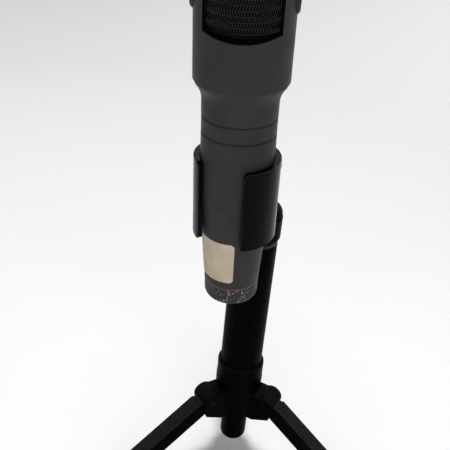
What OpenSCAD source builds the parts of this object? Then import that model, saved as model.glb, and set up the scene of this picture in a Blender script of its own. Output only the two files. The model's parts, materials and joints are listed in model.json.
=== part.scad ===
// Condenser microphone in a spring clip on a folding desk tripod, in millimetres

/* [Stand] */
// Radius of the upright tube
tube_r = 10; // [8:0.1:13]
// Wall of the upright tube
tube_wall = 1.2; // [0.8:0.1:2]
// Height of the tube top above the leg pins
tube_top_rise = 84.4; // [60:0.1:140]
// Turn of the tripod about the tube
tripod_turn = 26.4; // [0:0.1:119]
// Distance of the leg pins from the tube axis
leg_pin_reach = 17; // [16.6:0.1:22]
// Slope of an open leg below level
leg_slope = 34; // [25:1:45]
// Length of a leg from pin to foot centre
leg_len = 62; // [52:0.1:110]
// Width of a leg bar
leg_w = 8; // [6:0.2:10]
// Depth of a leg bar
leg_h = 8; // [7:0.2:8.6]
// Wall of a leg bar beside its hollow underside
bar_wall = 1.6; // [1.2:0.1:2.2]
// Radius of a leg pin
leg_pin_r = 1.5; // [1.2:0.1:2]
// Wall of a hub fork beside a leg
fork_wall = 1.5; // [1.2:0.1:2.2]
// Radius of a rubber foot
foot_r = 6.5; // [5:0.1:9]
// Height of a rubber foot
foot_h = 9; // [8.4:0.1:12]
// Height of the leg end inside its foot above the table
leg_end_z = 5; // [4.6:0.1:6]
// Radius of the hub collar
collar_r = 11.25; // [11:0.05:12]
// Height of the collar top above the leg pins
collar_rise = 19.3; // [16:0.1:30]
// Radius of the hub core
hub_r = 11.4; // [11.2:0.1:12]
// Height of the hub core above the leg pins
hub_up = 10.7; // [8:0.1:12]
// Depth of the hub core below the leg pins
hub_down = 11; // [9:0.5:14]
// Radius of the nose under the hub
nose_r = 6.5; // [4.5:0.1:8]
// Drop of the nose below the hub
nose_drop = 20.5; // [8:0.5:24]
// Radius of the stud on the tube cap
stud_r = 4.6; // [4:0.1:5]
// Length of the stud on the tube cap
stud_len = 13; // [11:0.5:15]

/* [Swivel] */
// Radius of the swivel base
base_r = 10.8; // [9.6:0.1:13]
// Height of the swivel base up to its shoulder
base_h = 16.2; // [15:0.1:16.4]
// Height of the tilt bolt above the tube top
tilt_rise = 37.3; // [37:0.1:48]
// Radius of the ears and of the clip lug
ear_r = 5.2; // [4.8:0.1:6]
// Thickness of one ear
ear_w = 2.2; // [1.8:0.1:4]
// Radius of the tilt bolt
bolt_r = 2; // [1.6:0.1:2.2]
// Wall of the thread insert
insert_wall = 1.84; // [1.2:0.02:2.4]

/* [Clip] */
// Distance of the microphone axis from the tilt bolt
clip_reach = 27.6; // [27.4:0.1:36]
// Wall of the clip
clip_wall = 2.2; // [1.8:0.1:2.8]
// Height of the clip
clip_h = 32.6; // [24:0.2:33]
// Half angle of the clip mouth
mouth_half = 34; // [25:0.5:50]
// Radius of the mouth's upper corners
mouth_round = 2.4; // [1:0.1:4]
// Radius of the mouth's lower corners
mouth_low_round = 0.8; // [0.5:0.1:4]
// Thickness of the clip lug
lug_w = 4.2; // [3:0.2:8]
// Height of the clip lug where it leaves the clip
lug_h = 16; // [13:0.5:20]
// Lean of the clip and the microphone towards the front
lean = 6; // [0:0.5:7]
// Turn of the microphone about its own axis in the clip
mic_turn = 21.4; // [0:0.1:40]

/* [Microphone] */
// Radius of the barrel in the clip
barrel_r = 13.8; // [12.4:0.1:16]
// Radius of the barrel at its lower end
barrel_end_r = 11.2; // [10.8:0.1:12]
// Wall of the end cap round the cable socket
cap_wall = 3.3; // [2.8:0.1:3.8]
// Height of the end cap below the red line
cap_h = 8.7; // [6:0.1:10]
// Height of the red line
line_h = 0.5; // [0.4:0.1:2]
// Height of the clip centre above the microphone end
clip_s = 47.8; // [40:0.1:56]
// Height of the lower joint of the band
band_s = 74.1; // [70:0.1:80]
// Height of the band
band_h = 6.2; // [4:0.1:10]
// Height where the head starts
head_s = 93.7; // [92:0.1:98]
// Radius of the head
head_r = 17; // [16.5:0.1:19]
// Height of the head pivot
pivot_s = 122.1; // [121:0.1:126]
// Half distance between the arms
arm_gap = 12.8; // [12:0.1:13.2]
// Radius of the round top of an arm
arm_top_r = 9.4; // [8:0.1:10.5]
// Drop of the window's rim below the pivot, at its lowest
rim_drop = 12.6; // [12.4:0.1:14]
// Radius of the dipped rim of the window
rim_r = 38; // [34:0.5:80]
// Wall of the head cup
cup_wall = 1.5; // [1.2:0.1:1.6]
// Height of the paper label
label_h = 19.3; // [10:0.1:20]

/* [Mesh head] */
// Radius of the mesh head
mesh_r = 15.2; // [14:0.1:15.2]
// Radius of the round underside of the mesh head about its pivot
ball_r = 18.2; // [17:0.1:18.4]
// Straight height of the mesh head above its pivot
mesh_rise = 18; // [17:0.5:24]
// Thickness of the mesh
mesh_wall = 0.6; // [0.4:0.1:0.8]
// Thickness of the foam behind the mesh
foam_t = 1.4; // [1:0.1:2]
// Radius of a pivot knob
knob_r = 6; // [4:0.1:7]
// Thickness of a pivot knob
knob_h = 2.3; // [1.8:0.1:4]
// Distance of a pivot knob's seat from the microphone axis
knob_seat = 15.4; // [14.8:0.1:15.8]
// Radius of a pivot shaft
shaft_r = 2; // [1.5:0.1:2.5]

/* [Fits] */
// Gap between barrel and clip
clip_gap = 0.35; // [0.2:0.05:0.6]
// Gap of a turning pin in its bore
pin_gap = 0.06; // [0.03:0.01:0.1]
// Gap on each side of a moving tongue
side_gap = 0.25; // [0.2:0.05:0.4]
// Gap round a part that turns freely
free_gap = 0.3; // [0.2:0.05:0.5]
// Gap between pieces that are fixed together
seat_gap = 0.03; // [0.02:0.01:0.1]

/* [Hidden] */
$fn = 96;
// Length of a cut that runs past the part
cut = 60;
// Fullness of a rounded corner, so that its arc crosses the two edges
corner_ease = 1.04;

// Legs and hub
leg_pin_z = leg_end_z + leg_len * sin(leg_slope);
foot_reach = leg_pin_reach + leg_len * cos(leg_slope);
foot_angles = [tripod_turn - 60, tripod_turn + 60, tripod_turn + 180];
foot_xs = [for (a = foot_angles) foot_reach * sin(a)];
foot_ys = [for (a = foot_angles) -foot_reach * cos(a)];
// Shift that puts the origin under the middle of the footprint
shift_x = -(min(foot_xs) + max(foot_xs)) / 2;
shift_y = -(min(foot_ys) + max(foot_ys)) / 2;
leg_end_gap = 2;
foot_wall = 0.9;
foot_side = leg_w / 2 + foot_wall;
foot_edge = 0.8;
foot_bevel = 2.5;
hollow_start = 25;
hollow_end = 16;
hollow_depth = 2.6;
knuckle_step = 0.8;
knuckle_r = leg_h / 2 - knuckle_step;
knuckle_wall = 1.7;
knuckle_gap = 0.35;
fork_r = knuckle_r + knuckle_wall;
fork_rise = 4;
fork_slant = -20;
fork_toe = 3.6;
fork_toe_drop = 7;
fork_heel = -5;
bar_start = fork_r + knuckle_gap;
block_w = leg_w + 2 * (side_gap + fork_wall);
hub_top = leg_pin_z + hub_up;
hub_low = leg_pin_z - hub_down;
hub_edge = 1;
collar_top = leg_pin_z + collar_rise;
collar_round = 1.1;
groove_in = 0.5;
groove_h = 0.8;
tube_foot_rise = 2;
tube_foot = leg_pin_z + tube_foot_rise;
nose_round = 3.5;
plug_inset = 2;
plug_r = nose_r - plug_inset;
plug_h = 7;

// Tube top and swivel
tube_top = leg_pin_z + tube_top_rise;
cap_plug = 10;
cap_flange = 1.2;
lock_h = 2.2;
lock_edge = 0.5;
lock_low = tube_top + cap_flange;
base_low = lock_low + lock_h + free_gap;
base_edge = 0.8;
base_round = 4.5;
disc_inset = 0.3;
disc_r = base_r - disc_inset;
disc_rise = 11.4;
disc_z = base_low + disc_rise;
disc_groove = 0.8;
shoulder = base_low + base_h;
insert_r = stud_r + pin_gap + insert_wall;
stud_bare = 1;
insert_h = stud_len - stud_bare;
tilt_z = tube_top + tilt_rise;
ear_in = lug_w / 2 + side_gap;
ear_out = ear_in + ear_w;
ear_root = 3;
washer_t = 0.5;
washer_r = 2.25 * bolt_r;
nut_r = 2.02 * bolt_r;
nut_h = 3.2;
bolt_end = 0.2;
head_h = 1.3;
stack = ear_out + seat_gap / 2 + washer_t + seat_gap / 2;

// Clip and microphone
clip_in = barrel_r + clip_gap;
clip_out = clip_in + clip_wall;
lug_step = 1.5;
seam = 0.5;
barrel_s = cap_h + line_h;
taper_s = clip_s;
socket_r = barrel_end_r - cap_wall;
socket_h = 18;
socket_lip = 1.3;
cap_round = 3.2;
spigot_inset = 2;
spigot_r = barrel_end_r - spigot_inset;
spigot_top = 20;
bore_step = 0.6;
bore_r = spigot_r + bore_step;
sleeve_inset = 1.8;
sleeve_r = barrel_r - sleeve_inset;
sleeve_wall = 1.2;
sleeve_in = sleeve_r - sleeve_wall;
sleeve_down = 6.8;
sleeve_up = 5;
sleeve_end = 0.2;
neck_s = band_s + band_h;
line_out = 0.05;
label_t = 0.16;
label_rise = 3.5;
label_s = barrel_s + label_rise;
label_from = -94;
label_to = 6;
label_round = 2;
flare_h = 8;
flare_s = head_s - flare_h;
flare_end = 139;
flare_lip = 0.8;
flare_r = (head_r - flare_lip - barrel_r) / (1 + cos(flare_end));
cup_in = head_r - cup_wall;
ball_room = 0.8;
cup_floor = pivot_s - ball_r - ball_room;
floor_t = 2.5;
wire_hole = 4;
arm_root_drop = 8;
arm_root = pivot_s - arm_root_drop;
arm_top_room = 0.1;
arm_top = pivot_s + arm_top_r + arm_top_room;
knob_edge = 0.6;

// Inside the microphone
insert_s = 13;
contact_r = 1.2;
contact_ring = socket_r / 2;
contact_low = 6.2;
contact_len = 15;
tray_room = 0.4;
tray_r = bore_r - tray_room;
tray_s = 22;
tray_wall = 1.2;
tray_back = 6.2;
cell_r = 7.25;
cell_h = 49.3;
cell_tip_r = 2.7;
cell_tip_h = 1.2;
cell_y = 1.4;
cell_room = 0.1;
spring_h = 2.8;
spring_wire = 0.8;
spring_r = 4.5;
plate_t = 0.8;
plate_w = 7;
cell_s = tray_s + tray_wall + spring_h;
plate_s = cell_s + cell_h + cell_tip_h;
bay_h = spring_h + cell_h + cell_tip_h + plate_t;
tray_h = bay_h + 2 * tray_wall;
board_w = 11;
board_t = 1.2;
board_s = 27;
board_h = 69;
core_w = 10;
core_h = 13;
core_rise = 0.8;
core_s = neck_s + core_rise;
can_r = 2.4;
can_h = 10;
can_turn = 48;
can_room = 0.05;
can_reach = sleeve_in - can_r - can_room;
can_rise = 1;
// How far the transformer stays below the circle of the capacitors
core_drop = 5.55;
core_d = tray_back + can_reach - core_drop;

// Mesh head
mesh_flat = arm_gap - free_gap;
slot_w = 1.5;
slot_h = 2.8;
slot_step_x = 2.6;
slot_step_z = 4.2;
slot_low = -9;
slot_side = floor((mesh_flat - 2 * mesh_wall - slot_w) / slot_step_x);
slot_rows = 8;
carrier_wall = 1.2;
carrier_r = shaft_r + carrier_wall;
shaft_in = 8.5;
post_w = 12;
post_t = 2;
post_y = 4;
post_h = 26;
mid_r = 7;
mid_h = 9;
mid_z = 10.5;
side_r = 5;
side_w = 8;
side_z = mid_z + mid_r + side_r + free_gap;

// Placing of the groups
module at_stand() {
  translate([shift_x, shift_y, 0]) children();
}
module at_leg(a) {
  at_stand() rotate([0, 0, a - 90]) translate([leg_pin_reach, 0, leg_pin_z]) children();
}
module at_bolt() {
  at_stand() translate([0, 0, tilt_z]) children();
}
module at_clip() {
  at_bolt() rotate([lean, 0, 0]) children();
}
module at_mic() {
  at_clip() translate([0, -clip_reach, -clip_s]) rotate([0, 0, mic_turn]) children();
}
module at_head() {
  at_mic() translate([0, 0, pivot_s]) children();
}

// Helpers
module ring(ro, ri, z0, z1) {
  turned([[ri, z0], [ro, z0], [ro, z1], [ri, z1]]);
}
module rod(r, x0, x1) {
  translate([x0, 0, 0]) rotate([0, 90, 0]) cylinder(r = r, h = x1 - x0);
}
module pin(r, w) {
  rotate([90, 0, 0]) cylinder(r = r, h = w, center = true);
}
module turned(points) {
  rotate_extrude() polygon(points);
}
function arc(cx, cy, r, a0, a1, n) = [for (i = [0:n]) let (a = a0 + (a1 - a0) * i / n)
  [cx + r * cos(a), cy + r * sin(a)]];
// Waste of a rounded corner on a sheet that curves about the axis and ends at an angle;
// side is 1 where the sheet goes on to the right, and up is 1 at its upper corner
module corner(a, z, r, side, up) {
  rotate([0, 0, a]) translate([side * r, 0, z - up * r]) mirror([1 - (side + 1) / 2, 0, 0])
    mirror([0, 0, 1 - (up + 1) / 2]) difference() {
      translate([-r - 1, -cut, 0]) cube([r + 1, cut, r + 1]);
      pin(r * corner_ease, 2 * cut + 2);
    }
}
// Point on the ground plane at an angle to the right of the front
function ray(a, r) = [r * sin(a), -r * cos(a)];

// Stand
module leg_slot() {
  top = knuckle_r + free_gap;
  back = -leg_h / 2 - knuckle_gap;
  edge = [top * sin(leg_slope), top * cos(leg_slope)];
  along = [cut * cos(leg_slope), -cut * sin(leg_slope)];
  rotate([90, 0, 0]) linear_extrude(height = leg_w + 2 * side_gap, center = true) union() {
    circle(r = knuckle_r + knuckle_gap);
    polygon([[0, 0], edge, edge + along, [back, -cut], [back, 0]]);
  }
}
// Two cheeks and a roof that carry one leg pin
module fork() {
  side = [fork_r * cos(fork_slant), fork_r * sin(fork_slant)];
  difference() {
    rotate([90, 0, 0]) linear_extrude(height = block_w, center = true) union() {
      circle(r = fork_r);
      polygon([[-leg_pin_reach, fork_rise], [0, fork_rise], [0, 0], side,
        [fork_toe, -fork_toe_drop], [fork_heel, -hub_down], [-leg_pin_reach, -hub_down]]);
    }
    leg_slot();
    pin(leg_pin_r + seat_gap, cut);
  }
}
module hub() {
  color([0.05, 0.05, 0.05]) difference() {
    union() {
      at_stand() turned(concat(
        [[0, hub_low], [hub_r - hub_edge, hub_low], [hub_r, hub_low + hub_edge],
        [hub_r, hub_top - groove_h], [hub_r - groove_in, hub_top - groove_h], [hub_r - groove_in, hub_top],
        [collar_r, hub_top]],
        arc(collar_r - collar_round, collar_top - collar_round, collar_round, 0, 90, 5), [[0, collar_top]]));
      for (a = foot_angles) at_leg(a) fork();
    }
    at_stand() translate([0, 0, tube_foot]) cylinder(r = tube_r + seat_gap, h = collar_rise);
    at_stand() translate([0, 0, hub_low - 1]) cylinder(r = plug_r + seat_gap, h = plug_h + 2);
  }
}
module center_tube() {
  color([0.06, 0.06, 0.06]) at_stand() ring(tube_r, tube_r - tube_wall, tube_foot, tube_top);
}
module hub_nose() {
  nose_low = hub_low - nose_drop;
  color([0.04, 0.04, 0.04]) at_stand() turned(concat([[0, nose_low]],
    arc(nose_r - nose_round, nose_low + nose_round, nose_round, -90, 0, 6),
    [[nose_r, hub_low], [plug_r, hub_low], [plug_r, hub_low + plug_h], [0, hub_low + plug_h]]));
}
module tube_cap() {
  plug = tube_r - tube_wall - seat_gap;
  color([0.08, 0.08, 0.08]) at_stand() turned([
    [0, tube_top - cap_plug], [plug, tube_top - cap_plug], [plug, tube_top], [tube_r, tube_top],
    [tube_r, lock_low], [stud_r, lock_low], [stud_r, tube_top + stud_len], [0, tube_top + stud_len]]);
}
module lock_ring() {
  lock_in = stud_r + seat_gap;
  lock_top = lock_low + lock_h;
  color([0.2, 0.2, 0.2]) at_stand() turned([
    [lock_in, lock_low], [tube_r - lock_edge, lock_low], [tube_r, lock_low + lock_edge],
    [tube_r, lock_top - lock_edge], [tube_r - lock_edge, lock_top], [lock_in, lock_top]]);
}
module leg_pins() {
  color([0.5, 0.5, 0.5]) for (a = foot_angles) at_leg(a) pin(leg_pin_r, block_w - 2 * bolt_end);
}
// One leg along its own axis, hollow underneath
module leg(a) {
  color([0.05, 0.05, 0.05]) at_leg(a) rotate([0, leg_slope, 0]) difference() {
    union() {
      pin(knuckle_r, leg_w);
      translate([0, -leg_w / 2, -knuckle_r]) cube([bar_start + 1, leg_w, 2 * knuckle_r]);
      translate([bar_start, -leg_w / 2, -leg_h / 2])
        cube([leg_len - leg_end_gap - bar_start, leg_w, leg_h]);
    }
    pin(leg_pin_r + pin_gap, cut);
    translate([hollow_start, -leg_w / 2 + bar_wall, -leg_h / 2 - 1])
      cube([leg_len - hollow_end - hollow_start, leg_w - 2 * bar_wall, hollow_depth + 1]);
  }
}
// Rubber foot with two flat sides and a pocket for the leg end
module foot(a) {
  color([0.03, 0.03, 0.03]) at_leg(a) rotate([0, leg_slope, 0]) translate([leg_len, 0, 0]) difference() {
    rotate([0, -leg_slope, 0]) translate([0, 0, -leg_end_z]) intersection() {
      turned([
        [0, 0], [foot_r - foot_edge, 0], [foot_r, foot_edge],
        [foot_r, foot_h - foot_bevel], [foot_r - foot_bevel, foot_h], [0, foot_h]]);
      cube([2 * cut, 2 * foot_side, 2 * cut], center = true);
    }
    translate([-cut - leg_end_gap + seat_gap, -leg_w / 2 - seat_gap, -leg_h / 2 - seat_gap])
      cube([cut, leg_w + 2 * seat_gap, leg_h + 2 * seat_gap]);
  }
}
module leg_left() { leg(foot_angles[0]); }
module leg_right() { leg(foot_angles[1]); }
module leg_back() { leg(foot_angles[2]); }
module foot_left() { foot(foot_angles[0]); }
module foot_right() { foot(foot_angles[1]); }
module foot_back() { foot(foot_angles[2]); }

// Swivel
module swivel_base() {
  ear_low = shoulder - ear_root - tilt_z;
  color([0.06, 0.06, 0.06]) difference() {
    union() {
      at_stand() turned(concat([[0, base_low], [base_r - base_edge, base_low], [base_r, base_low + base_edge],
        [base_r, disc_z - groove_h], [disc_r - disc_groove, disc_z - groove_h],
        [disc_r - disc_groove, disc_z], [disc_r, disc_z]],
        arc(disc_r - base_round, shoulder - base_round, base_round, 0, 90, 8), [[0, shoulder]]));
      for (x = [-ear_out, ear_in]) at_bolt() {
        rod(ear_r, x, x + ear_w);
        translate([x, -ear_r, ear_low]) cube([ear_w, 2 * ear_r, -ear_low]);
      }
    }
    at_stand() translate([0, 0, base_low - 1]) cylinder(r = insert_r + seat_gap, h = insert_h + 1 + bolt_end);
    at_bolt() rod(bolt_r + seat_gap, -cut, cut);
  }
}
module thread_insert() {
  color([0.75, 0.6, 0.3]) at_stand() ring(insert_r, stud_r + pin_gap, base_low, base_low + insert_h);
}
module tilt_bolt() {
  color([0.5, 0.5, 0.5]) at_bolt() union() {
    rod(bolt_r, -stack - nut_h - bolt_end, stack);
    rod(nut_r, stack, stack + head_h);
  }
}
module tilt_nut() {
  color([0.4, 0.4, 0.4]) at_bolt() difference() {
    translate([-stack - nut_h, 0, 0]) rotate([0, 90, 0]) cylinder(r = nut_r, h = nut_h, $fn = 6);
    rod(bolt_r + seat_gap, -cut, cut);
  }
}
module tilt_washers() {
  color([0.6, 0.6, 0.6]) at_bolt() for (k = [-1, 1]) difference() {
    translate([k * (ear_out + stack) / 2, 0, 0]) rod(washer_r, -washer_t / 2, washer_t / 2);
    rod(bolt_r + seat_gap, -cut, cut);
  }
}

// Clip
module clip_cradle() {
  color([0.04, 0.04, 0.04]) at_clip() difference() {
    union() {
      translate([0, -clip_reach, 0]) cylinder(r = clip_out, h = clip_h, center = true);
      translate([-lug_w / 2, -clip_reach, -lug_h / 2]) cube([lug_w, clip_reach - ear_r - lug_step, lug_h]);
      translate([-lug_w / 2, -clip_reach, -ear_r]) cube([lug_w, clip_reach, 2 * ear_r]);
      rod(ear_r, -lug_w / 2, lug_w / 2);
    }
    translate([0, -clip_reach, 0]) cylinder(r = clip_in, h = cut, center = true);
    translate([0, -clip_reach, 0]) linear_extrude(height = cut, center = true)
      polygon([[0, 0], ray(-mouth_half, cut), ray(mouth_half, cut)]);
    for (side = [-1, 1]) translate([0, -clip_reach, 0]) {
      corner(side * mouth_half, clip_h / 2, mouth_round, side, 1);
      corner(side * mouth_half, -clip_h / 2, mouth_low_round, side, -1);
    }
    rod(bolt_r + pin_gap, -cut, cut);
  }
}

// Microphone body
module barrel() {
  color([0.25, 0.24, 0.24]) at_mic() turned([
    [spigot_r + seat_gap, barrel_s], [barrel_end_r, barrel_s], [barrel_r, taper_s],
    [barrel_r, band_s - seam], [barrel_r - seam, band_s], [sleeve_r + seat_gap, band_s],
    [sleeve_r + seat_gap, band_s - sleeve_down - sleeve_end], [bore_r, band_s - sleeve_down - sleeve_end],
    [bore_r, spigot_top + seam], [spigot_r + seat_gap, spigot_top + seam]]);
}
module end_cap() {
  color([0.24, 0.23, 0.23]) at_mic() turned(concat([[socket_r, 0]],
    arc(barrel_end_r - cap_round, cap_round, cap_round - 0.1, -90, -6, 7),
    [[barrel_end_r, cap_h], [spigot_r, cap_h], [spigot_r, spigot_top],
    [socket_r - socket_lip, spigot_top], [socket_r - socket_lip, socket_h], [socket_r, socket_h]]));
}
module red_ring() {
  color([0.55, 0.2, 0.22]) at_mic() ring(barrel_end_r + line_out, spigot_r + seat_gap, cap_h, barrel_s);
}
function taper_at(s) = barrel_end_r + (barrel_r - barrel_end_r) * (s - barrel_s) / (taper_s - barrel_s);
module paper_label() {
  low = taper_at(label_s);
  high = taper_at(label_s + label_h);
  top = label_s + label_h;
  color([0.8, 0.74, 0.62]) at_mic() difference() {
    intersection() {
      turned([[low, label_s], [low + label_t, label_s], [high + label_t, top], [high, top]]);
      linear_extrude(height = cut)
        polygon([[0, 0], ray(label_to, cut), ray((label_from + label_to) / 2, 2 * cut),
          ray(label_from, cut)]);
    }
    corner(label_to, top, label_round, -1, 1);
    corner(label_to, label_s, label_round, -1, -1);
    corner(label_from, top, label_round, 1, 1);
    corner(label_from, label_s, label_round, 1, -1);
  }
}
module joint_ring() {
  band_r = barrel_r - line_out;
  low = band_s - sleeve_down;
  high = neck_s + sleeve_up;
  color([0.25, 0.24, 0.24]) at_mic() turned([[sleeve_in, low], [sleeve_r, low],
    [sleeve_r, band_s], [band_r - seam, band_s], [band_r, band_s + seam], [band_r, neck_s - seam],
    [band_r - seam, neck_s], [sleeve_r, neck_s], [sleeve_r, high], [sleeve_in, high]]);
}
module head_yoke() {
  color([0.25, 0.24, 0.24]) at_mic() difference() {
    turned(concat([[sleeve_r + seat_gap, neck_s], [barrel_r - seam, neck_s], [barrel_r, neck_s + seam]],
      arc(barrel_r + flare_r, flare_s, flare_r, 180, flare_end, 6),
      [[head_r, head_s], [head_r, arm_top], [wire_hole, arm_top],
      [wire_hole, arm_root], [cup_in, arm_root], [cup_in, cup_floor], [wire_hole, cup_floor],
      [wire_hole, cup_floor - floor_t], [sleeve_in, cup_floor - floor_t],
      [sleeve_in, neck_s + sleeve_up + sleeve_end], [sleeve_r + seat_gap, neck_s + sleeve_up + sleeve_end]]));
    // Front and back window with a dipped lower edge
    intersection() {
      translate([-arm_gap, -cut, pivot_s - rim_drop - 1]) cube([2 * arm_gap, 2 * cut, cut]);
      translate([0, 0, pivot_s - rim_drop + rim_r]) pin(rim_r, 2 * cut);
    }
    // Round tops of the arms
    difference() {
      translate([-cut, -cut, pivot_s]) cube([2 * cut, 2 * cut, cut]);
      translate([0, 0, pivot_s]) rod(arm_top_r, -cut, cut);
    }
    // Seats of the knobs and bores of their shafts
    for (k = [0, 1]) translate([0, 0, pivot_s]) mirror([k, 0, 0]) rod(knob_r + free_gap, knob_seat, cut);
    translate([0, 0, pivot_s]) rod(shaft_r + pin_gap, -cut, cut);
  }
}

// Inside the microphone body
module contacts(r, low, len) {
  for (k = [0:2]) rotate([0, 0, 120 * k]) translate([0, contact_ring, low]) cylinder(r = r, h = len);
}
module connector_insert() {
  color([0.1, 0.1, 0.1]) at_mic() difference() {
    translate([0, 0, insert_s]) cylinder(r = socket_r - seat_gap, h = socket_h - insert_s);
    contacts(contact_r + seat_gap, contact_low, cut);
  }
}
module connector_pins() {
  color([0.8, 0.75, 0.6]) at_mic() contacts(contact_r, contact_low, contact_len);
}
module circuit_board() {
  color([0.1, 0.3, 0.15]) at_mic() translate([-board_w / 2, -tray_back - board_t, board_s])
    cube([board_w, board_t, board_h]);
}
module transformer() {
  color([0.3, 0.3, 0.32]) at_mic() translate([-core_w / 2, -tray_back, core_s])
    cube([core_w, core_d, core_h]);
}
module capacitors() {
  color([0.2, 0.25, 0.35]) at_mic() for (k = [-1, 1]) rotate([0, 0, k * can_turn])
    translate([0, can_reach, core_s + can_rise]) cylinder(r = can_r, h = can_h);
}
module battery_tray() {
  color([0.08, 0.08, 0.08]) at_mic() difference() {
    intersection() {
      translate([0, 0, tray_s]) cylinder(r = tray_r, h = tray_h);
      translate([-cut, -tray_back, 0]) cube([2 * cut, cut, 2 * cut]);
    }
    translate([0, cell_y, tray_s + tray_wall]) cylinder(r = cell_r + cell_room, h = bay_h);
    translate([-cut, cell_y, tray_s + tray_wall]) cube([2 * cut, cut, bay_h]);
  }
}
module battery_cell() {
  color([0.7, 0.6, 0.3]) at_mic() translate([0, cell_y, cell_s]) union() {
    cylinder(r = cell_r, h = cell_h);
    cylinder(r = cell_tip_r, h = cell_h + cell_tip_h);
  }
}
// Stepped spring, narrower towards the cell
module battery_spring() {
  turns = 3;
  color([0.7, 0.7, 0.7]) at_mic() translate([0, cell_y, tray_s + tray_wall]) union()
    for (i = [0:turns - 1]) ring(spring_r - i * spring_wire / 2, spring_r - i * spring_wire / 2 - spring_wire,
      i * spring_h / turns, (i + 1) * spring_h / turns);
}
module battery_contact() {
  color([0.7, 0.7, 0.7]) at_mic() translate([-plate_w / 2, cell_y - plate_w / 2, plate_s])
    cube([plate_w, plate_w, plate_t]);
}

// Mesh head
module head_shape(inset, side_inset) {
  r = mesh_r - inset;
  intersection() {
    union() {
      intersection() {
        sphere(r = ball_r - inset);
        translate([0, 0, -cut]) cylinder(r = r, h = cut + mesh_rise / 2);
      }
      cylinder(r = r, h = mesh_rise);
      translate([0, 0, mesh_rise]) sphere(r = r);
    }
    cube([2 * (mesh_flat - side_inset), 2 * cut, 2 * cut], center = true);
  }
}
module mesh_grille() {
  color([0.05, 0.05, 0.05]) at_head() difference() {
    head_shape(0, 0);
    head_shape(mesh_wall, mesh_wall);
    rod(shaft_r + seat_gap, -cut, cut);
    // Openings of the mesh, front and back
    for (i = [-slot_side:slot_side]) for (j = [0:slot_rows - 1])
      translate([i * slot_step_x, 0, slot_low + (j + abs(i) % 2 / 2) * slot_step_z])
        cube([slot_w, cut, slot_h], center = true);
  }
}
module foam_liner() {
  foam_out = mesh_wall + cell_room;
  color([0.03, 0.03, 0.03]) at_head() difference() {
    head_shape(foam_out, foam_out);
    head_shape(foam_out + foam_t, foam_out + foam_t);
    rod(carrier_r + cell_room, -cut, cut);
  }
}
module capsule_carrier() {
  reach = mesh_flat - mesh_wall - cell_room;
  color([0.15, 0.15, 0.15]) at_head() difference() {
    union() {
      rod(carrier_r, -reach, reach);
      translate([-mid_r, -carrier_r, -carrier_r])
        cube([2 * mid_r, carrier_r + post_y + post_t, 2 * carrier_r]);
      translate([-post_w / 2, post_y, 0]) cube([post_w, post_t, post_h]);
    }
    rod(shaft_r + seat_gap, shaft_in, cut);
    rod(shaft_r + seat_gap, -cut, -shaft_in);
  }
}
module capsule_mid() {
  color([0.6, 0.6, 0.6]) at_head() translate([0, post_y - mid_h / 2, mid_z]) pin(mid_r, mid_h);
}
module capsule_side() {
  color([0.6, 0.6, 0.6]) at_head() translate([0, post_y - side_r, side_z])
    rod(side_r, -side_w / 2, side_w / 2);
}
module pivot_knob(k) {
  low = knob_seat + seat_gap;
  top = knob_seat + knob_h;
  tip = shaft_in + bolt_end;
  color([0.28, 0.27, 0.27]) at_head() mirror([k, 0, 0]) rotate([0, 90, 0]) turned([
    [0, tip], [shaft_r, tip], [shaft_r, low], [knob_r, low],
    [knob_r, top - knob_edge], [knob_r - knob_edge, top], [0, top]]);
}
module pivot_knob_left() { pivot_knob(1); }
module pivot_knob_right() { pivot_knob(0); }

hub();
center_tube();
hub_nose();
tube_cap();
lock_ring();
leg_pins();
leg_left();
leg_right();
leg_back();
foot_left();
foot_right();
foot_back();
swivel_base();
thread_insert();
tilt_bolt();
tilt_nut();
tilt_washers();
clip_cradle();
barrel();
end_cap();
red_ring();
paper_label();
joint_ring();
head_yoke();
connector_insert();
connector_pins();
circuit_board();
transformer();
capacitors();
battery_tray();
battery_cell();
battery_spring();
battery_contact();
mesh_grille();
foam_liner();
capsule_carrier();
capsule_mid();
capsule_side();
pivot_knob_left();
pivot_knob_right();
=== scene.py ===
# Looks of a condenser microphone in a spring clip on a desk tripod, in metres
import json
import math
import bpy
from mathutils import Matrix, Vector, noise

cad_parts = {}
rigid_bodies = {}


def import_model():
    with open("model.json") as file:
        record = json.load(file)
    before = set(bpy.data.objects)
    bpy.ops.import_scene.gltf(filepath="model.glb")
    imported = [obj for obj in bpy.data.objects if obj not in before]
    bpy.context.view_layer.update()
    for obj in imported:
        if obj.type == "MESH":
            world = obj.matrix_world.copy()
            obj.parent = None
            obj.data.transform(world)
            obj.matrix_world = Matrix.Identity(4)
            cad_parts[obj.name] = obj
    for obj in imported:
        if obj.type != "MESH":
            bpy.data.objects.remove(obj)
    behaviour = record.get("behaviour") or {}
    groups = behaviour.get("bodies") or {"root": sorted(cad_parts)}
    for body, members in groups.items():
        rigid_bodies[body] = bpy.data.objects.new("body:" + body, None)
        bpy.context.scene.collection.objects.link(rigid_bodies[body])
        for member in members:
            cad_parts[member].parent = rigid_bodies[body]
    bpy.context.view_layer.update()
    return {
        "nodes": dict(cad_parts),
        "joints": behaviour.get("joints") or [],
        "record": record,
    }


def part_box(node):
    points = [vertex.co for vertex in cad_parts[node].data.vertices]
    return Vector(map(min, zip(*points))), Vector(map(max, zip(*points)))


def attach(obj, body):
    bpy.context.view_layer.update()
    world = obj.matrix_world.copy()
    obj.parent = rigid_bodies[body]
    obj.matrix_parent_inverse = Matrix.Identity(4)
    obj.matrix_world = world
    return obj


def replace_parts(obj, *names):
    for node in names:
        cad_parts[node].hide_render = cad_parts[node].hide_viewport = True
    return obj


for left_over in list(bpy.data.objects):
    bpy.data.objects.remove(left_over)
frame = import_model()
nodes = frame["nodes"]
joints = {joint["name"]: joint for joint in frame["joints"]}
MM = 0.001

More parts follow.
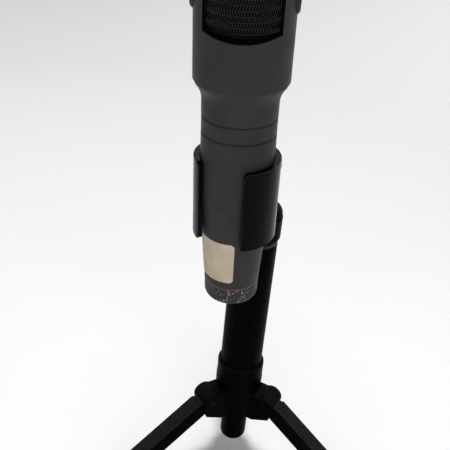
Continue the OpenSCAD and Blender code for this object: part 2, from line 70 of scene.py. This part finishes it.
# Places taken from the frame
tube_low, tube_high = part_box("center_tube")
tube_x = (tube_low.x + tube_high.x) / 2
tube_y = (tube_low.y + tube_high.y) / 2
pivot = Vector(joints["head_tilt"]["pos_m"])
head_x = Vector(joints["head_tilt"]["axis"]).normalized()
head_z = Vector(joints["mic_slide"]["axis"]).normalized()
head_y = head_z.cross(head_x)
head_place = Matrix.Translation(pivot) @ Matrix((head_x, head_y, head_z)).transposed().to_4x4()

# Camera at the photograph's viewing angle
PICTURE_SIZE = 450
FOCAL_PIXELS = 623.3
SENSOR = 36.0
VIEW_TURN = math.radians(23.73)
VIEW_PITCH = math.radians(27.57)
VIEW_ROLL = math.radians(5.32)
VIEW_DISTANCE = 274 * MM
CLIP_START = 10 * MM
# The point aimed at, above the tube's top and beside its axis
AIM_RISE = 7.0 * MM
AIM_SIDE = -13.97 * MM


def add_camera():
    turn = Matrix.Rotation(VIEW_TURN, 3, "Z")
    forward = turn @ Vector((0, math.cos(VIEW_PITCH), -math.sin(VIEW_PITCH)))
    level = turn @ Vector((1, 0, 0))
    upright = level.cross(forward)
    right = math.cos(VIEW_ROLL) * level + math.sin(VIEW_ROLL) * upright
    up = math.cos(VIEW_ROLL) * upright - math.sin(VIEW_ROLL) * level
    aim = Vector((tube_x, tube_y, tube_high.z + AIM_RISE)) + level * AIM_SIDE
    data = bpy.data.cameras.new("camera")
    data.sensor_width = SENSOR
    data.lens = FOCAL_PIXELS / PICTURE_SIZE * SENSOR
    data.clip_start = CLIP_START
    camera = bpy.data.objects.new("camera", data)
    bpy.context.scene.collection.objects.link(camera)
    facing = Matrix((right, up, -forward)).transposed().to_4x4()
    camera.matrix_world = Matrix.Translation(aim - forward * VIEW_DISTANCE) @ facing
    bpy.context.scene.camera = camera


add_camera()

# Studio light and floor
FLOOR_HALF = 6.0
# Floor tones near the part and far from it, the far one darker as painted shade where the light falls
# off, and the distances where one ends and the other starts
FLOOR_NEAR = (0.96, 0.96, 0.96)
FLOOR_FAR_SHADE = (0.62, 0.625, 0.635)
NEAR_END = 0.14
FAR_START = 0.85
# How much the far floor lightens towards white on the right, as painted light, and where that begins and
# ends
FLOOR_WHITE = (1.0, 1.0, 1.0)
FLOOR_RIGHT_LIGHT = 0.55
RIGHT_LIGHT_START = -1.1
RIGHT_LIGHT_END = -0.05
# The backdrop's tone, which the floor takes on between these two distances
BACKDROP = (0.70, 0.705, 0.71)
BLEND_START = 2.1
BLEND_END = 4.5
WORLD_LIGHT = 0.05
# Strength, softness, turn from the front and height of the three lamps
KEY_LAMP = (2.2, math.radians(14), math.radians(197), math.radians(86))
FILL_LAMP = (2.0, math.radians(80), math.radians(26), math.radians(10))
BACK_LAMP = (1.0, math.radians(120), math.radians(195), math.radians(10))


def add_lamp(name, strength, softness, turn, pitch):
    data = bpy.data.lights.new(name, "SUN")
    data.energy = strength
    data.angle = softness
    lamp = bpy.data.objects.new(name, data)
    bpy.context.scene.collection.objects.link(lamp)
    level = Vector((math.sin(turn), -math.cos(turn), 0)) * math.cos(pitch)
    toward = level + Vector((0, 0, math.sin(pitch)))
    lamp.rotation_euler = toward.to_track_quat("Z", "Y").to_euler()


def add_world():
    world = bpy.data.worlds.new("studio")
    bpy.context.scene.world = world
    world.use_nodes = True
    tree = world.node_tree
    back = tree.nodes["Background"]
    back.inputs["Color"].default_value = (1, 1, 1, 1)
    back.inputs["Strength"].default_value = WORLD_LIGHT
    shown = tree.nodes.new("ShaderNodeBackground")
    shown.inputs["Color"].default_value = (*BACKDROP, 1)
    path = tree.nodes.new("ShaderNodeLightPath")
    seen = path.outputs["Is Camera Ray"]
    for kind in ("Is Glossy Ray", "Is Transmission Ray"):
        either = tree.nodes.new("ShaderNodeMath")
        either.operation = "MAXIMUM"
        tree.links.new(seen, either.inputs[0])
        tree.links.new(path.outputs[kind], either.inputs[1])
        seen = either.outputs["Value"]
    mix = tree.nodes.new("ShaderNodeMixShader")
    tree.links.new(seen, mix.inputs["Fac"])
    tree.links.new(back.outputs["Background"], mix.inputs[1])
    tree.links.new(shown.outputs["Background"], mix.inputs[2])
    tree.links.new(mix.outputs["Shader"], tree.nodes["World Output"].inputs["Surface"])


add_lamp("key", *KEY_LAMP)
add_lamp("fill", *FILL_LAMP)
add_lamp("back", *BACK_LAMP)
add_world()
bpy.context.scene.view_settings.view_transform = "Standard"


# Procedural materials
NO_STRETCH = (1, 1, 1)
# The part of a noise's range over which tones and roughness drift
NOISE_LOW = 0.3
NOISE_HIGH = 0.7
# Detail of the noise behind tones, mottling, chips, relief and specks
TONE_DETAIL = 4.0
MOTTLE_DETAIL = 3.0
CHIP_DETAIL = 2.0
RELIEF_DETAIL = 2.0
SPECK_DETAIL = 1.0
# Rubbed edges, and on the clip a painted highlight along its rims: cosine between the true and the
# rounded normal where the mark starts and is full
WEAR_GLINT_START = 0.985
WEAR_GLINT_FULL = 0.88
# Noise levels that break the edge marks up, the size of the breaks, and how far they reach from an edge
WEAR_GLINT_GAPS = (0.30, 0.60)
WEAR_GLINT_GRAIN = 1.2 * MM
WEAR_GLINT_REACH = 0.35 * MM
# Rays that feel for an edge at each point
WEAR_GLINT_SAMPLES = 4
# Noise levels between which specks appear, before their share is taken off
SPECK_START = 0.72
SPECK_END = 0.74
# Painted sheen on up-facing faces, standing in for the light that falls on them from above: upward part
# of the normal where it starts and is full
SHEEN_START = 0.35
SHEEN_FULL = 0.8
# Noise levels that break the painted sheen up, how much is left in the breaks, and their size
SHEEN_GAPS = (0.25, 0.6)
SHEEN_THIN = 0.35
SHEEN_GRAIN = 1.5 * MM
# How many times as light as its own light tone a rubbed edge is
RUBBED_METAL = 1.4
RUBBED_PLASTIC = 2.2


def grey(tone):
    return (tone, tone, tone)


class Look:
    """A principled material whose colour, roughness and bump come from noise in object space."""

    def __init__(self, name, metallic=0.0, specular=0.5):
        self.material = bpy.data.materials.new(name)
        self.material.use_nodes = True
        self.tree = self.material.node_tree
        self.shader = self.tree.nodes["Principled BSDF"]
        self.shader.inputs["Metallic"].default_value = metallic
        self.shader.inputs["Specular IOR Level"].default_value = specular
        self.place = self.node("ShaderNodeTexCoord").outputs["Object"]
        self.height = None

    def node(self, kind, **settings):
        made = self.tree.nodes.new(kind)
        for key, value in settings.items():
            setattr(made, key, value)
        return made

    def link(self, source, target):
        self.tree.links.new(source, target)

    def noise(self, size, detail=MOTTLE_DETAIL, stretch=NO_STRETCH):
        """Noise with features of about this size in metres, drawn out along an axis by stretch."""
        spread = self.node("ShaderNodeMapping")
        spread.inputs["Scale"].default_value = [1 / s for s in stretch]
        texture = self.node("ShaderNodeTexNoise")
        texture.inputs["Scale"].default_value = 1 / size
        texture.inputs["Detail"].default_value = detail
        self.link(self.place, spread.inputs["Vector"])
        self.link(spread.outputs["Vector"], texture.inputs["Vector"])
        return texture.outputs["Fac"]

    def ramp(self, source, low, high, to_low=0.0, to_high=1.0):
        """Maps source from low..high to to_low..to_high."""
        made = self.node("ShaderNodeMapRange")
        made.inputs["From Min"].default_value = low
        made.inputs["From Max"].default_value = high
        made.inputs["To Min"].default_value = to_low
        made.inputs["To Max"].default_value = to_high
        self.link(source, made.inputs["Value"])
        return made.outputs["Result"]

    def times(self, a, b):
        made = self.node("ShaderNodeMath", operation="MULTIPLY")
        self.link(a, made.inputs[0])
        self.link(b, made.inputs[1])
        return made.outputs["Value"]

    def mix(self, factor, a, b):
        """Mix of two colours, each a socket or an RGB triple."""
        made = self.node("ShaderNodeMix", data_type="RGBA")
        self.link(factor, made.inputs["Factor"])
        for key, value in (("A", a), ("B", b)):
            target = [s for s in made.inputs if s.name == key and s.type == "RGBA"][0]
            if isinstance(value, tuple):
                target.default_value = (*value, 1)
            else:
                self.link(value, target)
        return [s for s in made.outputs if s.type == "RGBA"][0]

    def color(self, dark, light, size, stretch=NO_STRETCH):
        """Base colour that drifts between two tones."""
        drift = self.ramp(self.noise(size, TONE_DETAIL, stretch), NOISE_LOW, NOISE_HIGH)
        self.base = self.mix(drift, dark, light)
        self.link(self.base, self.shader.inputs["Base Color"])

    def layer(self, factor, color):
        """A second colour over the base where factor is high."""
        self.base = self.mix(factor, self.base, color)
        self.link(self.base, self.shader.inputs["Base Color"])

    def wear_and_glint(self, color, reach=WEAR_GLINT_REACH):
        """Lighter edges, as far as reach from the edge and broken up by noise: rubbing, and on the clip
        a painted highlight.
        """
        rounded = self.node("ShaderNodeBevel", samples=WEAR_GLINT_SAMPLES)
        rounded.inputs["Radius"].default_value = reach
        near = self.node("ShaderNodeVectorMath", operation="DOT_PRODUCT")
        self.link(rounded.outputs["Normal"], near.inputs[0])
        self.link(self.node("ShaderNodeNewGeometry").outputs["Normal"], near.inputs[1])
        edge = self.ramp(near.outputs["Value"], WEAR_GLINT_START, WEAR_GLINT_FULL)
        broken = self.ramp(self.noise(WEAR_GLINT_GRAIN), *WEAR_GLINT_GAPS)
        self.layer(self.times(edge, broken), color)

    def specks(self, color, size, share):
        """Small scattered marks that cover about this share."""
        spots = self.ramp(self.noise(size, SPECK_DETAIL), SPECK_START - share, SPECK_END - share)
        self.layer(spots, color)

    def painted_top_sheen(self, color):
        """Painted sheen on the faces that look up, lighter as if lit from above, broken up by noise."""
        facing = self.node("ShaderNodeSeparateXYZ")
        self.link(self.node("ShaderNodeNewGeometry").outputs["Normal"], facing.inputs[0])
        upward = self.ramp(facing.outputs["Z"], SHEEN_START, SHEEN_FULL)
        patchy = self.ramp(self.noise(SHEEN_GRAIN), *SHEEN_GAPS, SHEEN_THIN, 1.0)
        self.layer(self.times(upward, patchy), color)

    def roughness(self, smooth, rough, size, stretch=NO_STRETCH):
        """Roughness that drifts between two values."""
        value = self.ramp(self.noise(size, MOTTLE_DETAIL, stretch), NOISE_LOW, NOISE_HIGH, smooth, rough)
        self.link(value, self.shader.inputs["Roughness"])

    def bump(self, size, depth, stretch=NO_STRETCH):
        """Fine relief of about this depth in metres, added to the relief before it."""
        made = self.node("ShaderNodeBump")
        made.inputs["Distance"].default_value = depth
        made.inputs["Strength"].default_value = 1.0
        self.link(self.noise(size, RELIEF_DETAIL, stretch), made.inputs["Height"])
        if self.height:
            self.link(self.height, made.inputs["Normal"])
        self.height = made.outputs["Normal"]
        self.link(self.height, self.shader.inputs["Normal"])


def floor_paper():
    look = Look("floor_paper", specular=0.1)
    span = look.node("ShaderNodeVectorMath", operation="LENGTH")
    look.link(look.place, span.inputs[0])
    # Painted shade: the floor darkens with its distance from the part, as if the light fell off
    fade = look.ramp(span.outputs["Value"], NEAR_END, FAR_START)
    look.base = look.mix(fade, FLOOR_NEAR, FLOOR_FAR_SHADE)
    sides = look.node("ShaderNodeSeparateXYZ")
    look.link(look.place, sides.inputs[0])
    # Painted light: the far floor lightens towards the right
    right_light = look.ramp(sides.outputs["X"], RIGHT_LIGHT_START, RIGHT_LIGHT_END, 0.0, FLOOR_RIGHT_LIGHT)
    drift = look.times(fade, right_light)
    look.layer(drift, FLOOR_WHITE)
    look.layer(look.ramp(span.outputs["Value"], BLEND_START, BLEND_END), BACKDROP)
    look.roughness(smooth=0.85, rough=0.95, size=20 * MM)
    look.bump(size=0.6 * MM, depth=0.01 * MM)
    return look.material


def add_floor():
    corners = [(-FLOOR_HALF, -FLOOR_HALF, 0), (FLOOR_HALF, -FLOOR_HALF, 0),
               (FLOOR_HALF, FLOOR_HALF, 0), (-FLOOR_HALF, FLOOR_HALF, 0)]
    mesh = bpy.data.meshes.new("floor")
    mesh.from_pydata(corners, [], [(0, 1, 2, 3)])
    mesh.materials.append(floor_paper())
    floor = bpy.data.objects.new("floor", mesh)
    bpy.context.scene.collection.objects.link(floor)


add_floor()


def grey_paint():
    look = Look("grey_paint", specular=0.08)
    look.color(dark=(0.0296, 0.0273, 0.0275), light=(0.037, 0.0341, 0.0345), size=9 * MM)
    look.specks((0.05, 0.047, 0.045), size=0.35 * MM, share=0.02)
    look.wear_and_glint((0.09, 0.086, 0.082))
    look.roughness(smooth=0.42, rough=0.54, size=6 * MM)
    look.bump(size=0.30 * MM, depth=0.012 * MM)
    look.bump(size=2.5 * MM, depth=0.02 * MM)
    return look.material


# Size and noise levels of the chips in the paint, and of the worn areas that they lie in
CHIP_SIZE = 0.8 * MM
CHIP_LEVELS = (0.57, 0.63)
WORN_SIZE = 6 * MM
WORN_LEVELS = (0.40, 0.58)
# Half the width over which the chips thin out to the left, and the share of them that is left there
SCUFF_REACH = 5 * MM
SCUFF_LEFT = 0.15


def scuffed_paint():
    look = Look("scuffed_paint", specular=0.11)
    look.color(dark=(0.021, 0.0195, 0.019), light=(0.030, 0.028, 0.027), size=5 * MM)
    chips = look.ramp(look.noise(CHIP_SIZE, CHIP_DETAIL), *CHIP_LEVELS)
    worn = look.ramp(look.noise(WORN_SIZE), *WORN_LEVELS)
    across = look.node("ShaderNodeSeparateXYZ")
    look.link(look.place, across.inputs[0])
    right = look.ramp(across.outputs["X"], tube_x - SCUFF_REACH, tube_x + SCUFF_REACH, SCUFF_LEFT, 1.0)
    look.layer(look.times(look.times(chips, worn), right), (0.24, 0.235, 0.225))
    look.specks((0.10, 0.095, 0.09), size=0.4 * MM, share=0.05)
    look.wear_and_glint((0.16, 0.155, 0.15))
    look.roughness(smooth=0.42, rough=0.62, size=3 * MM)
    look.bump(size=0.30 * MM, depth=0.02 * MM)
    look.bump(size=2.5 * MM, depth=0.03 * MM)
    return look.material


def clip_plastic():
    look = Look("clip_plastic", specular=0.05)
    look.color(dark=grey(0.0008), light=grey(0.0016), size=5 * MM)
    look.specks(grey(0.006), size=0.25 * MM, share=0.01)
    # Painted highlight along the clip's rims, partly rubbing: edges made much lighter than the plastic
    look.wear_and_glint(grey(0.05), reach=0.5 * MM)
    look.roughness(smooth=0.14, rough=0.24, size=4 * MM)
    look.bump(size=0.8 * MM, depth=0.006 * MM)
    look.bump(size=6 * MM, depth=0.05 * MM)
    return look.material


def black_plastic():
    look = Look("black_plastic", specular=0.012)
    look.color(dark=grey(0.0008), light=grey(0.0016), size=4 * MM)
    # Painted sheen: up-facing faces made lighter, standing in for light from above
    look.painted_top_sheen(grey(0.006))
    look.roughness(smooth=0.30, rough=0.42, size=3 * MM)
    look.bump(size=0.25 * MM, depth=0.003 * MM)
    look.bump(size=5 * MM, depth=0.03 * MM)
    return look.material


def black_tube():
    look = Look("black_tube", specular=0.010)
    look.color(dark=grey(0.0007), light=grey(0.0014), size=3 * MM, stretch=(1, 1, 6))
    look.wear_and_glint(grey(0.006))
    look.roughness(smooth=0.30, rough=0.46, size=1.5 * MM, stretch=(1, 1, 12))
    look.bump(size=0.25 * MM, depth=0.003 * MM)
    return look.material


def black_bar():
    look = Look("black_bar", specular=0.012)
    look.color(dark=grey(0.0008), light=grey(0.0018), size=4 * MM)
    # Painted sheen: up-facing faces made lighter, standing in for light from above
    look.painted_top_sheen(grey(0.016))
    look.wear_and_glint(grey(0.03))
    look.roughness(smooth=0.34, rough=0.50, size=3 * MM)
    look.bump(size=0.30 * MM, depth=0.014 * MM)
    return look.material


def bare_metal(name, dark, light, smooth, rough, size):
    look = Look(name, metallic=1.0)
    look.color(dark, light, size)
    look.wear_and_glint(tuple(min(1.0, RUBBED_METAL * c) for c in light))
    look.roughness(smooth, rough, size / 2, stretch=(1, 1, 0.2))
    look.bump(size=0.2 * MM, depth=0.006 * MM, stretch=(1, 1, 0.15))
    return look.material


def foot_rubber():
    look = Look("foot_rubber", specular=0.3)
    look.color(dark=grey(0.008), light=grey(0.014), size=2 * MM)
    look.specks((0.06, 0.058, 0.055), size=0.3 * MM, share=0.02)
    look.roughness(smooth=0.7, rough=0.9, size=1 * MM)
    look.bump(size=0.25 * MM, depth=0.03 * MM)
    return look.material


def red_line():
    look = Look("red_line", specular=0.4)
    look.color(dark=(0.11, 0.024, 0.030), light=(0.17, 0.040, 0.048), size=2 * MM)
    look.specks((0.06, 0.05, 0.05), size=0.5 * MM, share=0.08)
    look.roughness(smooth=0.45, rough=0.6, size=2 * MM)
    look.bump(size=0.2 * MM, depth=0.01 * MM)
    return look.material


# Size and noise levels of the stains on the label, and how strong they get
STAIN_SIZE = 14 * MM
STAIN_LEVELS = (0.55, 0.8)
STAIN_STRENGTH = 0.5


def label_paper():
    look = Look("label_paper", specular=0.2)
    look.color(dark=(0.44, 0.37, 0.28), light=(0.53, 0.455, 0.35), size=5 * MM)
    look.specks((0.36, 0.29, 0.20), size=0.4 * MM, share=0.06)
    stains = look.ramp(look.noise(STAIN_SIZE), *STAIN_LEVELS, 0.0, STAIN_STRENGTH)
    look.layer(stains, (0.40, 0.31, 0.21))
    look.roughness(smooth=0.75, rough=0.9, size=1 * MM)
    look.bump(size=0.15 * MM, depth=0.02 * MM, stretch=(4, 1, 1))
    look.bump(size=5 * MM, depth=0.08 * MM)
    return look.material


def moulded(name, dark, light, smooth, rough):
    look = Look(name)
    look.color(dark, light, size=3 * MM)
    look.wear_and_glint(tuple(RUBBED_PLASTIC * c for c in light))
    look.roughness(smooth, rough, size=2 * MM)
    look.bump(size=0.3 * MM, depth=0.015 * MM)
    return look.material


def board_green():
    look = Look("board_green")
    look.color(dark=(0.012, 0.075, 0.028), light=(0.02, 0.11, 0.04), size=3 * MM)
    look.specks((0.45, 0.32, 0.12), size=1.2 * MM, share=0.08)
    look.roughness(smooth=0.3, rough=0.5, size=2 * MM)
    look.bump(size=0.5 * MM, depth=0.03 * MM)
    return look.material


def mesh_black():
    look = Look("mesh_black", specular=0.34)
    look.color(dark=grey(0.0006), light=grey(0.0018), size=2 * MM)
    look.specks(grey(0.06), size=0.3 * MM, share=0.02)
    look.roughness(smooth=0.20, rough=0.32, size=1 * MM)
    look.bump(size=0.1 * MM, depth=0.004 * MM)
    return look.material


def plate_black():
    look = Look("plate_black", specular=0.08)
    look.color(dark=grey(0.0012), light=grey(0.0028), size=3 * MM)
    look.specks(grey(0.03), size=0.3 * MM, share=0.02)
    look.roughness(smooth=0.45, rough=0.60, size=2 * MM)
    look.bump(size=0.2 * MM, depth=0.01 * MM)
    return look.material


def foam_black():
    look = Look("foam_black", specular=0.1)
    look.color(dark=grey(0.0005), light=grey(0.0016), size=0.5 * MM)
    look.roughness(smooth=0.9, rough=1.0, size=0.5 * MM)
    look.bump(size=0.4 * MM, depth=0.25 * MM)
    return look.material


# Bare metals: dark and light tone, smoothest and roughest finish, and size of the grain
BARE_METALS = {
    "grey_ring": (grey(0.022), grey(0.040), 0.4, 0.55, 2 * MM),
    "pin_steel": (grey(0.0015), grey(0.003), 0.35, 0.5, 2 * MM),
    "zinc_steel": ((0.22, 0.22, 0.225), (0.34, 0.34, 0.335), 0.3, 0.46, 2 * MM),
    "thread_brass": ((0.5, 0.36, 0.14), (0.65, 0.48, 0.2), 0.25, 0.4, 2 * MM),
    "contact_plate": ((0.5, 0.5, 0.47), (0.65, 0.64, 0.6), 0.2, 0.35, 1 * MM),
    "core_iron": ((0.12, 0.12, 0.13), (0.2, 0.2, 0.21), 0.5, 0.7, 1 * MM),
    "cell_jacket": ((0.25, 0.2, 0.09), (0.36, 0.3, 0.15), 0.3, 0.45, 3 * MM),
    "capsule_can": (grey(0.45), grey(0.58), 0.3, 0.45, 2 * MM),
}
# Moulded plastics: dark and light tone, smoothest and roughest finish
MOULDED_PLASTICS = {
    "insert_plastic": (grey(0.012), grey(0.022), 0.4, 0.55),
    "sleeve_plastic": ((0.02, 0.035, 0.09), (0.03, 0.05, 0.13), 0.25, 0.4),
}

# Every material, by the slot that it finishes
materials = {
    "grey_paint": grey_paint(),
    "clip_plastic": clip_plastic(),
    "black_plastic": black_plastic(),
    "black_tube": black_tube(),
    "black_bar": black_bar(),
    "foot_rubber": foot_rubber(),
    "red_line": red_line(),
    "label_paper": label_paper(),
    "board_green": board_green(),
    "mesh_black": mesh_black(),
    "foam_black": foam_black(),
}
for name, recipe in BARE_METALS.items():
    materials[name] = bare_metal(name, *recipe)
for name, recipe in MOULDED_PLASTICS.items():
    materials[name] = moulded(name, *recipe)

# Each node takes its slot's material, and the end cap a more worn one
slot_of = {part["node"]: part["material_slot"] for part in frame["record"]["subparts"]}
for name, node in nodes.items():
    node.data.materials.clear()
    node.data.materials.append(materials[slot_of[name]])
nodes["end_cap"].data.materials[0] = scuffed_paint()

# Rounded edges on the moulded and machined pieces
# An edge that turns more than this is rounded, in this many strips, once points this close are merged
EDGE_ANGLE = math.radians(28)
EDGE_SEGMENTS = 3
WELD_GAP = 0.002 * MM
EDGE_WIDTHS = {
    "clip_cradle": 0.55 * MM, "head_yoke": 0.3 * MM, "end_cap": 0.25 * MM, "hub": 0.4 * MM,
    "swivel_base": 0.5 * MM, "leg_left": 0.8 * MM, "leg_right": 0.8 * MM, "leg_back": 0.8 * MM,
    "center_tube": 0.25 * MM, "pivot_knob_left": 0.3 * MM, "pivot_knob_right": 0.3 * MM,
    "foot_left": 0.4 * MM, "foot_right": 0.4 * MM, "foot_back": 0.4 * MM, "tilt_nut": 0.25 * MM,
    "tilt_bolt": 0.25 * MM, "lock_ring": 0.15 * MM, "barrel": 0.12 * MM, "joint_ring": 0.12 * MM,
}


def round_edges(piece, width):
    weld = piece.modifiers.new("weld", "WELD")
    weld.merge_threshold = WELD_GAP
    bevel = piece.modifiers.new("edge", "BEVEL")
    bevel.width = width
    bevel.segments = EDGE_SEGMENTS
    bevel.limit_method = "ANGLE"
    bevel.angle_limit = EDGE_ANGLE
    piece.modifiers.new("normals", "WEIGHTED_NORMAL")


for name, width in EDGE_WIDTHS.items():
    round_edges(nodes[name], width)


# Sides of a wire's round section
WIRE_SIDES = 6


class Shell:
    """Vertices and faces of one piece, gathered in the head's own axes."""

    def __init__(self):
        self.verts = []
        self.faces = []

    def sweep(self, spots, radius, closed):
        """A round wire through spots, each a point and the normal of the surface that it lies on."""
        path = [point for point, normal in spots]
        count = len(path)
        first = len(self.verts)
        for i, (point, normal) in enumerate(spots):
            ahead = path[(i + 1) % count] if closed else path[min(i + 1, count - 1)]
            behind = path[i - 1] if closed else path[max(i - 1, 0)]
            across = (ahead - behind).normalized().cross(normal).normalized()
            for k in range(WIRE_SIDES):
                angle = 2 * math.pi * k / WIRE_SIDES
                out = math.cos(angle) * normal + math.sin(angle) * across
                self.verts.append(point + radius * out)
        for i in range(count if closed else count - 1):
            here = first + i * WIRE_SIDES
            there = first + (i + 1) % count * WIRE_SIDES
            for k in range(WIRE_SIDES):
                m = (k + 1) % WIRE_SIDES
                self.faces.append((here + k, here + m, there + m, there + k))
        if not closed:
            last = first + (count - 1) * WIRE_SIDES
            self.faces.append([first + k for k in reversed(range(WIRE_SIDES))])
            self.faces.append([last + k for k in range(WIRE_SIDES)])

    def loft(self, rings):
        """A closed skin through closed rings of equal count, capped at both ends."""
        first = len(self.verts)
        count = len(rings[0])
        for ring in rings:
            self.verts.extend(ring)
        for i in range(len(rings) - 1):
            for k in range(count):
                m = (k + 1) % count
                here = first + i * count
                self.faces.append((here + k, here + m, here + count + m, here + count + k))
        end = first + (len(rings) - 1) * count
        self.faces.append([first + k for k in reversed(range(count))])
        self.faces.append([end + k for k in range(count)])

    def piece(self, name, slot, body):
        """The gathered faces as a piece that rides on a body; its end faces stay flat."""
        mesh = bpy.data.meshes.new(name)
        mesh.from_pydata([head_place @ v for v in self.verts], [], self.faces)
        mesh.validate()
        mesh.materials.append(materials[slot])
        for face in mesh.polygons:
            face.use_smooth = len(face.vertices) == 4
        made = bpy.data.objects.new(name, mesh)
        bpy.context.scene.collection.objects.link(made)
        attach(made, body)
        return made


# Mesh head: crimped upright wires on level wires, a rim and a plate at each side, and foam behind
# Its sizes are those of the solid that it stands for
grille_points = [head_place.inverted() @ v.co for v in nodes["mesh_grille"].data.vertices]
side_x = max(p.x for p in grille_points)
mesh_radius = max(p.y for p in grille_points)
ball_radius = -min(p.z for p in grille_points)
mesh_rise = max(p.z for p in grille_points) - mesh_radius
# The turn from the front at which the mesh meets its flat side
side_turn = math.asin(side_x / mesh_radius)
# Upright wires: spacing, sideways swing and radius
WARP_PITCH = 0.94 * MM
WARP_SWING = 0.5 * MM
WARP_RADIUS = 0.125 * MM
# How far an upright wire dips where it crosses a level one
WARP_DIP = 0.24 * MM
# Crimps of an upright wire on each straight side, over the top and round the underside
SIDE_STEPS = 16
TOP_STEPS = 26
UNDER_STEPS = 20
LOOP_STEPS = 2 * SIDE_STEPS + TOP_STEPS + UNDER_STEPS
HALF_STEPS = [i / 2 for i in range(2 * LOOP_STEPS)]
# Where an upright wire has its points between two crimps
WARP_PARTS = (0.07, 0.36, 0.64, 0.93)
# Level wires: radius, and straight parts from side to side
WEFT_RADIUS = 0.11 * MM
WEFT_PARTS = 30
RIM_RADIUS = 0.45 * MM
# How far a rim stands out of the mesh's flat side towards the arm
RIM_OUT = 0.2 * MM
PLATE_THICK = 0.6 * MM
# Foam: depth under the mesh, rings from side to side, and depth and size of its lumps
FOAM_INSET = 1.0 * MM
FOAM_RINGS = 34
FOAM_LUMP = 0.10 * MM
FOAM_GRAIN = 0.9 * MM


def on_head(turn, step, inset):
    """Point and outward normal at a turn from the front and a step round the loop of the head."""
    radius = mesh_radius - inset
    ball = ball_radius - inset
    seam = -math.sqrt(ball ** 2 - radius ** 2)
    x = radius * math.sin(turn)
    depth = radius * math.cos(turn)
    if step < SIDE_STEPS:
        height = seam + (mesh_rise - seam) * step / SIDE_STEPS
        return Vector((x, -depth, height)), Vector((x, -depth, 0)) / radius
    step -= SIDE_STEPS
    if step < TOP_STEPS:
        angle = math.pi * step / TOP_STEPS
        arm = Vector((x, -depth * math.cos(angle), depth * math.sin(angle)))
        return arm + Vector((0, 0, mesh_rise)), arm / radius
    step -= TOP_STEPS
    if step < SIDE_STEPS:
        height = mesh_rise - (mesh_rise - seam) * step / SIDE_STEPS
        return Vector((x, depth, height)), Vector((x, depth, 0)) / radius
    step -= SIDE_STEPS
    spread = math.atan2(depth, -seam)
    angle = spread * (1 - 2 * step / UNDER_STEPS)
    reach = math.hypot(depth, seam)
    arm = Vector((x, reach * math.sin(angle), -reach * math.cos(angle)))
    return arm, arm / ball


def crimp(step):
    """Sideways swing of an upright wire, from -1 to 1 and back over two steps."""
    return 1 - 2 * abs(step % 2 - 1)


def dip(step):
    """Depth of an upright wire, 1 at a crossing and 0 midway between two."""
    return math.cos(math.pi * (step % 1)) ** 2


def add_wires():
    wires = Shell()
    side_count = int((side_turn * mesh_radius - WARP_SWING - RIM_RADIUS) / WARP_PITCH)
    steps = [i + part for i in range(LOOP_STEPS) for part in WARP_PARTS]
    for j in range(-side_count, side_count + 1):
        spots = []
        for step in steps:
            turn = (j * WARP_PITCH + WARP_SWING * crimp(step)) / mesh_radius
            spots.append(on_head(turn, step, WARP_RADIUS + WARP_DIP * dip(step)))
        wires.sweep(spots, WARP_RADIUS, True)
    inset = 2 * WARP_RADIUS + WARP_DIP + WEFT_RADIUS / 2
    turns = [side_turn * (2 * k / WEFT_PARTS - 1) for k in range(WEFT_PARTS + 1)]
    for step in range(LOOP_STEPS):
        wires.sweep([on_head(turn, step, inset) for turn in turns], WEFT_RADIUS, False)
    return wires.piece("grille_wire", "mesh_black", "mesh_head")


def add_rims():
    rims = Shell()
    for side in (-1, 1):
        turn = side * math.asin((side_x + RIM_OUT - RIM_RADIUS) / (mesh_radius - RIM_RADIUS))
        spots = [on_head(turn, step, RIM_RADIUS) for step in HALF_STEPS]
        rims.sweep(spots, RIM_RADIUS, True)
        faces = (side_x - PLATE_THICK, side_x)
        plate = [[Vector((side * x, point.y, point.z)) for point, normal in spots] for x in faces]
        rims.loft(plate if side > 0 else plate[::-1])
    return rims.piece("grille_rims", "mesh_black", "mesh_head")


def add_foam():
    foam = Shell()
    widest = math.asin((side_x - PLATE_THICK - FOAM_LUMP) / (mesh_radius - FOAM_INSET))
    rings = []
    for i in range(FOAM_RINGS + 1):
        turn = widest * (2 * i / FOAM_RINGS - 1)
        ring = []
        for step in HALF_STEPS:
            point, normal = on_head(turn, step, FOAM_INSET)
            ring.append(point + normal * FOAM_LUMP * noise.noise(point / FOAM_GRAIN))
        rings.append(ring)
    foam.loft(rings)
    return foam.piece("foam_lining", "foam_black", "mesh_head")


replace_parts(add_wires(), "mesh_grille")
add_rims().data.materials[0] = plate_black()
foam_lining = add_foam()
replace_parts(foam_lining, "foam_liner")
